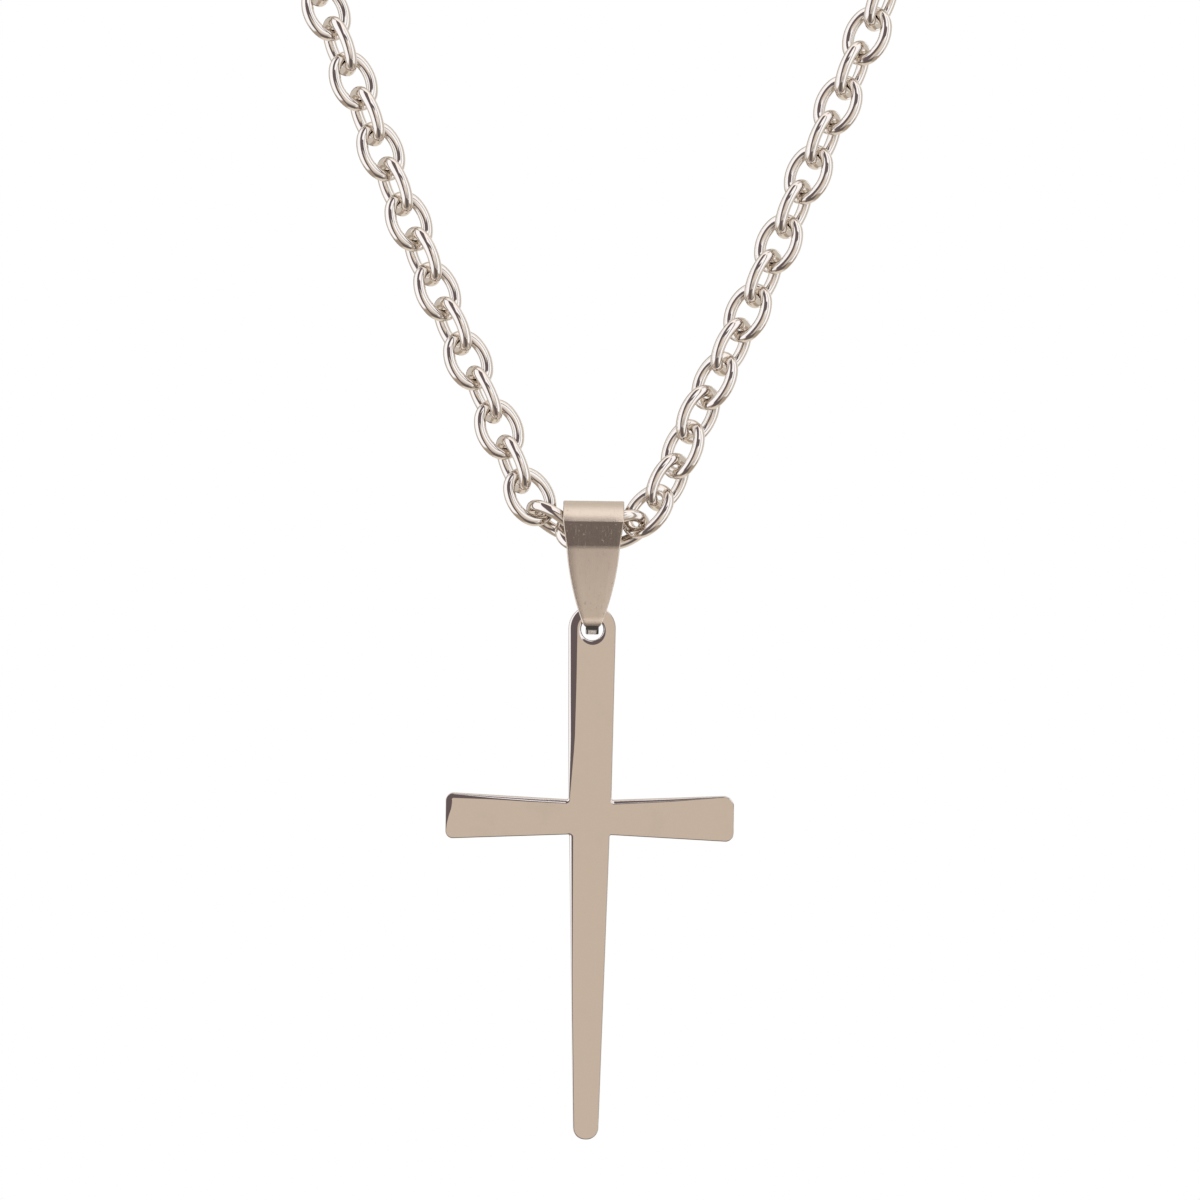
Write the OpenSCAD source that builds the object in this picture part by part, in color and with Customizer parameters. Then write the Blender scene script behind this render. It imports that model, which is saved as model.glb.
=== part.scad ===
// Cross pendant on a cable chain.
// A flat polished cross hangs by its top hole from a folded sheet bail,
// and the bail hangs from a closed loop of oval wire links.
// Millimetres, +X to the wearer's left, -Y to the front, +Z up.
// The origin is at the nape of the neck, where the loop is carried.

/* [Cross] */
// Full height of the cross
cross_h = 50; // [35:0.5:70]
// Thickness of the plate
cross_t = 1.8; // [1.2:0.1:3]
// Full width across the arms
arm_span = 27; // [18:0.2:40]
// Distance from the hanging hole down to the middle of the arms
arm_drop = 17.6; // [13:0.2:24]
// Width of the upright at the hole
top_w = 4.5; // [3.6:0.1:6]
// Width of the upright just over the arms
waist_w = 4.15; // [3:0.05:5.5]
// Width of the upright just under the arms
shaft_w = 3.8; // [2.6:0.05:5.5]
// Width of the upright at its rounded foot
foot_w = 2.35; // [1.6:0.05:4.5]
// Height of the arms where they leave the upright
arm_root_h = 3.25; // [2.4:0.05:5]
// Height of the arms at their ends
arm_end_h = 4.3; // [3:0.05:6]
// Radius of the arms' outer corners
corner_r = 0.65; // [0.2:0.05:1]
// Radius of the fillets where the arms meet the upright
crotch_r = 0.42; // [0.1:0.02:0.8]
// Width of the countersunk rim round the hole
rim_w = 0.3; // [0.1:0.05:0.5]

/* [Bail] */
// Width of the bail at its crown
bail_w = 5.7; // [4.5:0.1:8]
// Thickness of the sheet that it is folded from
sheet_t = 0.5; // [0.4:0.05:0.8]
// Depth, front to back, at the upper crease
bail_d = 7.8; // [7:0.1:11]
// Depth, front to back, at the lower crease
waist_d = 5.5; // [5:0.1:9]
// Height of the rounded crown
crown_h = 1.95; // [1.4:0.05:2.6]
// Height of the facet between the two creases
facet_h = 2.4; // [1.4:0.05:3.5]
// Height of the tapered leaf under the facet
leaf_h = 7.3; // [5:0.1:12]
// Width at the lower crease
crease_w = 5; // [3.8:0.1:7.5]
// Width of the leaf at its tip
tip_w = 1.7; // [1.4:0.05:2.5]
// Radius of the leaf's bowed sides
leaf_side_r = 26; // [16:1:60]
// Width of the strap that passes through the hole
strap_w = 1.22; // [0.8:0.02:1.6]
// Drop from the leaf's tip to the underside of the strap
strap_drop = 0.85; // [0.8:0.05:1.4]

/* [Chain] */
// Outer length of a link
link_l = 5.9; // [5:0.1:8]
// Outer width of a link
link_w = 4.65; // [4.2:0.05:6]
// Diameter of the wire
wire_d = 1.12; // [0.8:0.02:1.4]
// Radius of the wire's middle line round a link's ends
link_end_r = 1.55; // [1.3:0.05:1.65]
// How far the chain has slipped to the right through the bail
slip = 0.95; // [0.4:0.05:2]
// Links on each side of the bail that lie slack
slack_links = 3; // [1:1:6]
// Slope of the chain where it enters the bail
lean = 25; // [15:1:45]

/* [Clasp] */
// Length of the neck loop that the clasp takes up, between its two links
clasp_l = 14.6; // [12:0.2:20]
// Diameter of the barrel
barrel_d = 3.6; // [3:0.1:6]
// Wire of the eyes at its ends
eye_wire_d = 0.9; // [0.7:0.05:1.1]
// Radius of the middle line of the eyes
eye_r = 1.3; // [1.2:0.05:2]
// Chamfer at the barrel's ends
barrel_chamfer = 0.45; // [0.1:0.05:0.9]

/* [Clearances] */
// Gap between the wires of neighbouring links
link_gap = 0.12; // [0.1:0.02:0.3]
// Extra gap between links that lie slack
slack_gap = 0.25; // [0.2:0.05:0.8]
// Gap between the crown and the links under it
crown_gap = 0.13; // [0.1:0.01:0.6]
// Gap between the strap and each face of the cross
strap_gap = 0.2; // [0.1:0.05:0.5]
// Gap between the strap's edges and the hole's wall
hole_gap = 0.43; // [0.2:0.01:0.8]
// Play between the strap and the top of the hole
hang_play = 1.04; // [0.6:0.02:1.4]

/* [Hidden] */
$fn = 64;
ROUND = 96;

// The right half of the loop, from its lowest point up to the nape.
// Columns: x, y, z, and the roll of the links left and right of the bail.
ROUTE = [
    [0, -115, -208, 12, 9],
    [2, -115, -207.42, 8, 4],
    [3.9, -115, -206.74, 39, 1],
    [5.9, -115, -204.5, 19, 2],
    [9.1, -115, -197.5, 21, -6],
    [14.2, -115, -186.7, 6, 6],
    [19.7, -115, -173.7, 6, 6],
    [25.6, -114.5, -159.2, 5, 5],
    [37.5, -110, -130, 0, 0],
    [49.5, -99, -99, 0, 0],
    [59, -82, -65, 0, 0],
    [62, -60, -34, 0, 0],
    [56, -36, -13, 0, 0],
    [40, -15, -4, 0, 0],
    [20, -4, -1, 0, 0],
    [0, 0, 0, 0, 0]
];
// Points worked out on the curve between two chosen ones
ROUTE_STEPS = 16;
// Middle of the neck, front to back, from which the links' faces turn away
NECK_Y = -20;
// Links on each side, counted from the bail, that the pitch itself spaces
TAUT_LINKS = 20;
LEFT_ROLL = 3;
RIGHT_ROLL = 4;
low = ROUTE[0];

// Chain
mid_l = link_l - wire_d;
mid_w = link_w - wire_d;
pitch = mid_l - wire_d - link_gap;
slack_pitch = pitch - slack_gap;
side_r = (pow(mid_l / 2 - link_end_r, 2) + pow(mid_w / 2, 2) - pow(link_end_r, 2))
    / (mid_w - 2 * link_end_r);
end_turn = atan2(side_r - mid_w / 2, mid_l / 2 - link_end_r);
joint_reach = (wire_d + link_gap) / 2;

// Vectors and the curve of the route
function unit(v) = v / norm(v);
function place(row) = [row[0], row[1], row[2]];
function mirrored(row) = [-row[0], row[1], row[2], row[3], row[4]];

// Slope of the curve at a point, weighed by the spans on its two sides
function tangent(a, b, c) =
    let(h0 = norm(place(b) - place(a)), h1 = norm(place(c) - place(b)))
    (h1 / h0 * (b - a) + h0 / h1 * (c - b)) / (h0 + h1);

// One point of the cubic span from a to b, with end slopes ta and tb
function on_span(a, b, ta, tb, u) =
    let(h = norm(place(b) - place(a)))
    (2 * pow(u, 3) - 3 * pow(u, 2) + 1) * a
    + (pow(u, 3) - 2 * pow(u, 2) + u) * h * ta
    + (3 * pow(u, 2) - 2 * pow(u, 3)) * b
    + (pow(u, 3) - pow(u, 2)) * h * tb;

function row_at(i) = let(last = len(ROUTE) - 1)
    i < 0 ? mirrored(ROUTE[-i]) : i > last ? mirrored(ROUTE[2 * last - i]) : ROUTE[i];
slopes = [for (i = [0 : len(ROUTE) - 1]) tangent(row_at(i - 1), row_at(i), row_at(i + 1))];
curve = [
    for (i = [0 : len(ROUTE) - 2])
        for (k = [0 : ROUTE_STEPS - 1])
            on_span(ROUTE[i], ROUTE[i + 1], slopes[i], slopes[i + 1], k / ROUTE_STEPS),
    ROUTE[len(ROUTE) - 1]
];
// The curve with a short run past its lowest point
run_in = [for (k = [ROUTE_STEPS : -1 : 1]) mirrored(curve[k])];
long_curve = concat(run_in, curve);

// Height of the curve over its lowest point, at a distance x from the middle
function height_at(x) = lookup(x, [for (k = [0 : 4 * ROUTE_STEPS]) [curve[k][0], curve[k][2]]]) - low.z;

// First vertex of a line, from index i on, that lies r or more from a point
function first_past(line, at, r, i) =
    norm(place(line[i]) - place(at)) >= r || i >= len(line) - 1 ? i : first_past(line, at, r, i + 1);

// Point at distance r from a given one, on the segment that ends at index i
function on_segment(line, at, r, i) =
    let(
        a = line[i - 1],
        run = place(line[i]) - place(a),
        off = place(a) - place(at),
        qa = run * run,
        qb = run * off,
        qc = off * off - r * r,
        u = (-qb + sqrt(max(0, qb * qb - qa * qc))) / qa
    )
    a + u * (line[i] - a);

// Pitch from joint k to the next: the links past the taut ones are spaced to
// bring the last one to the clasp
function joint_pitch(k, last_pitch) =
    k < slack_links ? slack_pitch : k < TAUT_LINKS ? pitch : last_pitch;

// Joints between links along a line, each a pitch from the one before
function joints(line, found, i, last_pitch, count) =
    let(
        k = len(found) - 1,
        r = joint_pitch(k, last_pitch),
        j = first_past(line, found[k], r, i)
    )
    k + 1 >= count || j >= len(line) - 1
        ? found
        : joints(line, concat(found, [on_segment(line, found[k], r, j)]), j, last_pitch, count);

steps = [for (i = [1 : len(curve) - 1]) norm(place(curve[i]) - place(curve[i - 1]))];
half_loop = steps * [for (step = steps) 1];
taut_run = slack_links * slack_pitch + (TAUT_LINKS - slack_links) * pitch;
right_rest = half_loop - slip - taut_run - clasp_l / 2;
left_rest = half_loop + slip - taut_run - clasp_l / 2;
right_more = round(right_rest / pitch);
// The two last links stand the same way when the halves differ by an odd number
odd = (right_more + 1) % 2;
left_more = odd + 2 * round((left_rest / pitch - odd) / 2);

first_joint = on_segment(curve, low, slip, first_past(curve, low, slip, 1));
right_count = TAUT_LINKS + right_more + 1;
left_count = TAUT_LINKS + left_more + 1;
right_joints = joints(curve, [first_joint], 1, right_rest / right_more, right_count);
left_found = joints(long_curve, [mirrored(first_joint)], 1, left_rest / left_more, left_count);
left_joints = [for (row = left_found) mirrored(row)];

// Cross
hole_r = strap_w / 2 + hole_gap;
end_r = top_w / 2;
foot_r = foot_w / 2;
foot_drop = cross_h - end_r - foot_r;

// Bail, from the chain down
link_reach = (mid_w / 2 * cos(45) + wire_d / 2) / cos(lean);
rise = height_at(bail_w / 2);
crown_z = low.z + rise + link_reach + crown_gap + sheet_t;
crease_z = crown_z - crown_h;
leaf_z = crease_z - facet_h;
tip_z = leaf_z - leaf_h;
strap_z = tip_z - strap_drop;
crown_r = (pow(bail_d / 2, 2) + pow(crown_h, 2)) / (2 * crown_h);
crown_mid_z = crown_z - crown_r;
strap_r = cross_t / 2 + strap_gap + sheet_t;
strap_mid_z = strap_z + strap_r;
hole_z = strap_z + sheet_t + hang_play - hole_r;

// Frame of the link between two joints: its middle, then along it, across it and
// square to it. The way is 1 on the right half and -1 on the left one.
function link_frame(a, b, roll, even, way) =
    let(
        mid = (place(a) + place(b)) / 2,
        along = unit(place(b) - place(a)),
        away = [mid.x, mid.y - NECK_Y, 0],
        front = unit(away - (away * along) * along),
        turn = even ? 45 - roll : -45 - roll,
        side = way * cross(along, front),
        across = cos(turn) * side + sin(turn) * front
    )
    [mid, along, across, cross(along, across)];

module in_frame(frame) {
    at = frame[0];
    x = frame[1];
    y = frame[2];
    z = frame[3];
    multmatrix([
        [x.x, y.x, z.x, at.x],
        [x.y, y.y, z.y, at.y],
        [x.z, y.z, z.z, at.z],
        [0, 0, 0, 1]
    ]) children();
}

// Wire bent round an arc of the XY plane
module wire_arc(r, from, sweep, d) {
    rotate([0, 0, from])
        rotate_extrude(angle = sweep)
            translate([r, 0])
                circle(d = d, $fn = 24);
}

// One oval link: a tight arc at each end and a long arc on each side
module link() {
    end_at = mid_l / 2 - link_end_r;
    side_at = side_r - mid_w / 2;
    side_turn = 180 - 2 * end_turn;
    translate([end_at, 0, 0]) wire_arc(link_end_r, -end_turn, 2 * end_turn, wire_d);
    translate([-end_at, 0, 0]) wire_arc(link_end_r, 180 - end_turn, 2 * end_turn, wire_d);
    translate([0, -side_at, 0]) wire_arc(side_r, end_turn, side_turn, wire_d);
    translate([0, side_at, 0]) wire_arc(side_r, 180 + end_turn, side_turn, wire_d);
}

// A run of links along a list of joints; its first link is number first
module links(joints, roll_column, first, way) {
    for (k = [0 : len(joints) - 2]) {
        a = joints[k];
        b = joints[k + 1];
        roll = (a[roll_column] + b[roll_column]) / 2;
        even = (first + k) % 2 == 0;
        in_frame(link_frame(a, b, roll, even, way)) link();
    }
}

module chain_right() {
    color("silver") links(right_joints, RIGHT_ROLL, 1, 1);
}

module chain_left() {
    color("silver") links(left_joints, LEFT_ROLL, 0, -1);
}

// Tangent length of a round corner, and its middle, for corner b of a, b, c
function corner_cut(a, b, c, r) = r / tan(corner_half(a, b, c));
function corner_half(a, b, c) = acos(unit(a - b) * unit(c - b)) / 2;
function corner_mid(a, b, c, r) =
    b + unit(unit(a - b) + unit(c - b)) * r / sin(corner_half(a, b, c));
function turns_left(a, b, c) = cross(b - a, c - b) > 0;

// Polygon, drawn anticlockwise, with a radius for each of its corners
module soft_polygon(points, radii) {
    n = len(points);
    before = [for (i = [0 : n - 1]) points[(i + n - 1) % n]];
    after = [for (i = [0 : n - 1]) points[(i + 1) % n]];
    cuts = [for (i = [0 : n - 1]) corner_cut(before[i], points[i], after[i], radii[i])];
    mids = [for (i = [0 : n - 1]) corner_mid(before[i], points[i], after[i], radii[i])];
    convex = [for (i = [0 : n - 1]) turns_left(before[i], points[i], after[i])];
    difference() {
        union() {
            polygon([
                for (i = [0 : n - 1])
                    for (other = [before[i], after[i]])
                        if (radii[i] > 0 || other == before[i])
                            points[i] + cuts[i] * unit(other - points[i])
            ]);
            for (i = [0 : n - 1])
                if (radii[i] > 0 && convex[i])
                    translate(mids[i]) circle(r = radii[i]);
        }
        for (i = [0 : n - 1])
            if (radii[i] > 0 && !convex[i])
                translate(mids[i]) circle(r = radii[i]);
    }
}

// Front of the cross, with the middle of the hanging hole at its origin
module cross_front() {
    right = [
        [foot_w / 2, -foot_drop],
        [shaft_w / 2, -arm_drop - arm_root_h / 2],
        [arm_span / 2, -arm_drop - arm_end_h / 2],
        [arm_span / 2, -arm_drop + arm_end_h / 2],
        [waist_w / 2, -arm_drop + arm_root_h / 2],
        [top_w / 2, 0]
    ];
    radii = [0, crotch_r, corner_r, corner_r, crotch_r, 0];
    left = [for (i = [5 : -1 : 0]) [-right[i].x, right[i].y]];
    left_radii = [for (i = [5 : -1 : 0]) radii[i]];
    soft_polygon(concat(right, left), concat(radii, left_radii));
    circle(r = end_r);
    translate([0, -foot_drop]) circle(r = foot_r);
}

// Cutter for the hole and its two countersunk rims
module hole_cutter() {
    half = cross_t / 2;
    rotate([90, 0, 0])
        rotate_extrude($fn = ROUND)
            polygon([
                [0, -half - rim_w],
                [hole_r + 2 * rim_w, -half - rim_w],
                [hole_r, -half + rim_w],
                [hole_r, half - rim_w],
                [hole_r + 2 * rim_w, half + rim_w],
                [0, half + rim_w]
            ]);
}

module cross() {
    color("tan") translate([0, low.y, hole_z]) difference() {
        rotate([90, 0, 0])
            linear_extrude(cross_t, center = true)
                cross_front();
        hole_cutter();
    }
}

// Where the line from a point touches a circle round [0, mid], on its right side
function touch(from, mid, r) =
    let(
        d = from - [0, mid],
        aim = atan2(d.y, d.x) - acos(r / norm(d))
    )
    [r * cos(aim), mid + r * sin(aim)];

// Corner b of a line a, b, c, moved inwards by t, with the inside on the left
function moved_in(a, b, c, t) =
    let(
        u = unit(b - a),
        v = unit(c - b),
        n0 = [-u.y, u.x],
        n1 = [-v.y, v.x]
    )
    b + t * (n0 + n1) / (1 + n0 * n1);

// Side view of the strip's outer or inner face, moved in by t
module bail_side(t) {
    flare = (bail_d - waist_d) / 2 / facet_h;
    over = crown_h + sheet_t;
    foot = touch([waist_d / 2, leaf_z], strap_mid_z, strap_r);
    waist = [waist_d / 2, leaf_z];
    top = [waist_d / 2 + flare * (facet_h + over), leaf_z + facet_h + over];
    inner_foot = foot + t * unit([0, strap_mid_z] - foot);
    inner_waist = moved_in(foot, waist, top, t);
    inner_top = top + inner_waist - waist;
    intersection() {
        translate([0, crown_mid_z]) circle(r = crown_r - t, $fn = ROUND);
        polygon([
            [-inner_foot.x, leaf_z - facet_h],
            [inner_foot.x, leaf_z - facet_h],
            inner_waist,
            inner_top,
            [-inner_top.x, inner_top.y],
            [-inner_waist.x, inner_waist.y]
        ]);
    }
    polygon([
        [-inner_foot.x, inner_foot.y],
        inner_foot,
        inner_waist,
        [-inner_waist.x, inner_waist.y]
    ]);
    translate([0, strap_mid_z]) circle(r = strap_r - t, $fn = ROUND);
}

// Front view of the bail: band, bowed leaf and strap
module bail_front() {
    bow_h = leaf_z - tip_z;
    half_in = (crease_w - tip_w) / 4;
    chord = norm([2 * half_in, bow_h]);
    bow_mid = [crease_w / 2 - half_in, (leaf_z + tip_z) / 2];
    aim = [-bow_h, 2 * half_in] / chord;
    bow_centre = bow_mid + aim * sqrt(pow(leaf_side_r, 2) - pow(chord / 2, 2));
    polygon([
        [-bail_w / 2, crown_z],
        [-bail_w / 2, crease_z],
        [-crease_w / 2, leaf_z],
        [crease_w / 2, leaf_z],
        [bail_w / 2, crease_z],
        [bail_w / 2, crown_z]
    ]);
    intersection() {
        translate([-crease_w / 2, tip_z]) square([crease_w, bow_h]);
        translate(bow_centre) circle(r = leaf_side_r, $fn = ROUND);
        translate([-bow_centre.x, bow_centre.y]) circle(r = leaf_side_r, $fn = ROUND);
    }
    translate([-strap_w / 2, strap_z]) square([strap_w, tip_z - strap_z + strap_w / 2]);
}

module bail() {
    color("tan") translate([0, low.y, 0]) intersection() {
        rotate([90, 0, 90])
            linear_extrude(bail_w, center = true)
                difference() {
                    bail_side(0);
                    bail_side(sheet_t);
                }
        rotate([90, 0, 0])
            linear_extrude(bail_d + 2 * sheet_t, center = true)
                bail_front();
    }
}

// Barrel with an eye at each end, between the last joints of the two halves
module clasp() {
    left_end = left_joints[left_count - 1];
    right_end = right_joints[right_count - 1];
    span = norm(place(right_end) - place(left_end));
    even = right_count % 2 == 0;
    eye_at = span / 2 + joint_reach - eye_r;
    barrel_l = 2 * (eye_at - eye_r);
    r = barrel_d / 2;
    color("silver") in_frame(link_frame(left_end, right_end, 0, even, -1)) {
        rotate([0, 90, 0])
            rotate_extrude($fn = 48)
                polygon([
                    [0, -barrel_l / 2],
                    [r - barrel_chamfer, -barrel_l / 2],
                    [r, -barrel_l / 2 + barrel_chamfer],
                    [r, barrel_l / 2 - barrel_chamfer],
                    [r - barrel_chamfer, barrel_l / 2],
                    [0, barrel_l / 2]
                ]);
        for (side = [-1, 1])
            translate([side * eye_at, 0, 0])
                rotate_extrude($fn = 32)
                    translate([eye_r, 0]) circle(d = eye_wire_d, $fn = 24);
    }
}

cross();
bail();
chain_left();
chain_right();
clasp();
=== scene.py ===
"""Looks of a steel cross on its cable chain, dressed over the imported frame.

Every piece is a surface worked out with numpy in the frame's own place and size:
the cross is a plate with rolled rims, the bail a strip of sheet bent round a side
profile, and the chain one oval of wire set on every link of the frame.
Metres in the meshes, millimetres in the named sizes.
"""

import logging
import math
from dataclasses import dataclass, field
from enum import Enum
from typing import Sequence

import bpy
import numpy as np
from mathutils import Matrix, Vector
from mathutils.geometry import tessellate_polygon

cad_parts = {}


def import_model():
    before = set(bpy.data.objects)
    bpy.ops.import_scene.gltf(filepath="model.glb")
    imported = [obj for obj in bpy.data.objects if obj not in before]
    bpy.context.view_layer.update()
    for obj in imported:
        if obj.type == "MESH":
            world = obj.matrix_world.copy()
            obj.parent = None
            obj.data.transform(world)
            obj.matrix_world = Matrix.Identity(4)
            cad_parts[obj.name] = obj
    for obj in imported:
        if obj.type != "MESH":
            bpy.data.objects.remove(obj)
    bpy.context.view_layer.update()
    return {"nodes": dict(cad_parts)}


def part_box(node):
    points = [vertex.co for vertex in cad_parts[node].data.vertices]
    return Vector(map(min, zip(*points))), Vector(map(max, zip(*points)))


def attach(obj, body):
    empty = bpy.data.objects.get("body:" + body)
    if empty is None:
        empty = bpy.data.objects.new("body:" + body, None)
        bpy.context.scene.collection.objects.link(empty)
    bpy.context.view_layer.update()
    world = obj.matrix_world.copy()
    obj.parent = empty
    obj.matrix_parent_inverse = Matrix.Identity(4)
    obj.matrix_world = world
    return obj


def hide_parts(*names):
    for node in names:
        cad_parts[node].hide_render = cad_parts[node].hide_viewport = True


Array = np.ndarray
Material = bpy.types.Material
Piece = bpy.types.Object
Socket = bpy.types.NodeSocket
Pair = tuple[float, float]
Value = Socket | float
Colour = Socket | Sequence[float]

LOG = logging.getLogger("pendant")
MM = 0.001


class Side(Enum):
    """Which half of the chain, with the frame's node for it."""

    LEFT = "chain_left"
    RIGHT = "chain_right"


def linear(red: float, green: float, blue: float) -> tuple[float, float, float]:
    """Turns an sRGB colour of 0 to 255 into the linear one that a shader takes."""
    shares = np.array([red, green, blue]) / 255.0
    low = shares / 12.92
    high = ((shares + 0.055) / 1.055) ** 2.4
    return tuple(float(v) for v in np.where(shares <= 0.04045, low, high))


# Node and mesh helpers


@dataclass(frozen=True)
class Grain:
    """A stretched noise.

    Fields:
        scale: Its fineness along each axis of the place where it is looked up.
        detail: Its octaves.
        roughness: How strong the finer octaves are.
    """

    scale: tuple[float, float, float]
    detail: float
    roughness: float = 0.5


class Bench:
    """A node tree to which shader nodes are added and wired."""

    def __init__(self, tree: bpy.types.NodeTree) -> None:
        """Takes a material's or the world's node tree and clears it."""
        self.tree = tree
        tree.nodes.clear()

    def add(self, kind: str, inputs: dict | None = None, **settings: object) -> bpy.types.Node:
        """Adds a node.

        Args:
            kind: The node's type name, without its ShaderNode prefix.
            inputs: Socket names or numbers, each with a value or a socket to wire in.
            **settings: Attributes to set on the node.

        Returns:
            The new node.
        """
        node = self.tree.nodes.new("ShaderNode" + kind)
        for name, value in settings.items():
            setattr(node, name, value)
        for name, value in (inputs or {}).items():
            socket = node.inputs[name]
            if isinstance(value, Socket):
                self.tree.links.new(value, socket)
            else:
                socket.default_value = value
        return node

    def math(self, operation: str, a: Value, b: Value = 0.0) -> Socket:
        """Adds a Math node and gives its result."""
        return self.add("Math", {0: a, 1: b}, operation=operation).outputs[0]

    def total(self, base: float, *terms: tuple[Value, float]) -> Socket:
        """Adds up a base and sockets, each times its own weight."""
        for socket, weight in terms:
            inputs = {0: socket, 1: weight, 2: base}
            base = self.add("Math", inputs, operation="MULTIPLY_ADD").outputs[0]
        return base

    def band(self, value: Value, span: Pair, out: Pair = (0.0, 1.0)) -> Socket:
        """Maps a value smoothly from one range to another and holds it at the ends.

        Args:
            value: The socket to map.
            span: Where the change starts and where it ends.
            out: The result before and after it.

        Returns:
            The mapped socket.
        """
        inputs = {0: value, 1: span[0], 2: span[1], 3: out[0], 4: out[1]}
        return self.add("MapRange", inputs, interpolation_type="SMOOTHSTEP").outputs[0]

    def mix(self, share: Value, a: Colour, b: Colour) -> Socket:
        """Mixes two colours, with all of the first where the share is 0."""
        colours = [c if isinstance(c, Socket) else (*c, 1.0) for c in (a, b)]
        node = self.add("Mix", {0: share, 6: colours[0], 7: colours[1]}, data_type="RGBA")
        return node.outputs[2]

    def noise(self, place: Socket, grain: Grain, tilt: float = 0.0) -> Socket:
        """Adds a noise, looked up at a place that is tilted about its second axis.

        Args:
            place: The socket of the place.
            grain: The noise's stretch and octaves.
            tilt: The tilt, in degrees.

        Returns:
            The noise's socket.
        """
        turn = (0.0, math.radians(tilt), 0.0)
        lines = self.add("Mapping", {"Vector": place, "Rotation": turn, "Scale": grain.scale})
        settings = {"Scale": 1.0, "Detail": grain.detail, "Roughness": grain.roughness}
        return self.add("TexNoise", {"Vector": lines.outputs[0], **settings}).outputs[0]

    def steel(self, tone: Colour, metallic: Value, rough: Value, height: Value, bump: Pair) -> None:
        """Ends the tree in a metal.

        Args:
            tone: Its colour.
            metallic: How metallic it is.
            rough: Its roughness.
            height: What the bump follows.
            bump: The bump's strength and its distance in metres.
        """
        relief = self.add("Bump", {"Strength": bump[0], "Distance": bump[1], "Height": height})
        inputs = {"Base Color": tone, "Metallic": metallic, "Roughness": rough}
        metal = self.add("BsdfPrincipled", {**inputs, "Normal": relief.outputs[0]})
        self.add("OutputMaterial", {"Surface": metal.outputs[0]})


def new_material(name: str) -> tuple[Material, Bench]:
    """Makes an empty material, and the bench that its nodes are added on."""
    material = bpy.data.materials.new(name)
    material.use_nodes = True
    return material, Bench(material.node_tree)


def read(items: bpy.types.bpy_prop_collection, name: str, width: int, kind: type) -> Array:
    """Reads an attribute of a collection's items, one row of a width for each."""
    values = np.zeros(width * len(items), kind)
    items.foreach_get(name, values)
    return values.reshape(-1, width)


@dataclass(frozen=True)
class SheetMesh:
    """Points and faces of one piece, in millimetres, before they go to Blender.

    Fields:
        points: Corner points, one row each.
        faces: Corner numbers, four to a row.
        triangles: Corner numbers, three to a row.
        uv: Optional place of each point along and across the metal, in millimetres.
        sharp: Optional pairs of points whose edge keeps its two normals apart.
    """

    points: Array
    faces: Array
    triangles: Array = field(default_factory=lambda: np.zeros((0, 3), int))
    uv: Array | None = None
    sharp: Array | None = None

    def build(self, name: str, material: Material) -> Piece:
        """Makes the Blender object, smooth shaded.

        Args:
            name: The object's name.
            material: Its material.

        Returns:
            The new object, at the origin.
        """
        mesh = bpy.data.meshes.new(name)
        rows = self.faces.tolist() + self.triangles.tolist()
        mesh.from_pydata((self.points * MM).tolist(), [], rows)
        mesh.validate()
        mesh.shade_smooth()
        if self.uv is not None:
            corner = read(mesh.loops, "vertex_index", 1, int).ravel()
            layer = mesh.uv_layers.new(name="metal")
            layer.data.foreach_set("uv", self.uv[corner].astype(np.float32).ravel())
        if self.sharp is not None:
            ends = np.sort(read(mesh.edges, "vertices", 2, int), axis=1)
            wanted = np.sort(self.sharp, axis=1)
            size = len(mesh.vertices)
            mask = np.isin(ends[:, 0] * size + ends[:, 1], wanted[:, 0] * size + wanted[:, 1])
            mark = mesh.attributes.new("sharp_edge", "BOOLEAN", "EDGE")
            mark.data.foreach_set("value", mask)
        mesh.materials.append(material)
        mesh.update()
        piece = bpy.data.objects.new(name, mesh)
        bpy.context.scene.collection.objects.link(piece)
        LOG.info("%s: %d points, %d faces", name, len(mesh.vertices), len(mesh.polygons))
        return piece


def grid_faces(rows: int, columns: int, start: int = 0, close_rows: bool = False) -> Array:
    """Joins a grid of points, row after row, into four-sided faces.

    The face at row i and column j has the corners (i, j), (i+1, j), (i+1, j+1) and
    (i, j+1). It faces along the way from row to row crossed with the way from column
    to column. Columns always close on themselves.

    Args:
        rows: Number of rows.
        columns: Number of points in a row.
        start: Number of the grid's first point.
        close_rows: Whether the last row joins the first.

    Returns:
        The faces, four corner numbers to a row.
    """
    i = np.arange(rows if close_rows else rows - 1)[:, None]
    j = np.arange(columns)[None, :]
    below = (i + 1) % rows
    right = (j + 1) % columns
    corners = [i * columns + j, below * columns + j, below * columns + right, i * columns + right]
    faces = np.stack([np.broadcast_to(c, (len(i), columns)) for c in corners], axis=2)
    return start + faces.reshape(-1, 4)


def once_round(count: int) -> Array:
    """Gives evenly spaced angles once round, in radians."""
    return np.linspace(0, 2 * math.pi, count, endpoint=False)


def cap(ring: Array) -> Array:
    """Closes a ring of points by a fan of triangles that turns against the ring."""
    return np.stack([np.full(len(ring) - 2, ring[0]), ring[2:], ring[1:-1]], axis=1)


def unit(vectors: Array) -> Array:
    """Scales vectors, in the last axis, to length one."""
    return vectors / np.linalg.norm(vectors, axis=-1, keepdims=True)


@dataclass(frozen=True)
class Corner:
    """A corner of a closed outline, drawn anticlockwise.

    Fields:
        x: First coordinate, in mm.
        y: Second coordinate, in mm.
        radius: Radius that rounds it.
    """

    x: float
    y: float
    radius: float


# Half of a corner's share of the turn that is counted from corner to corner
CORNER_SHARE = 0.01


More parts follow.
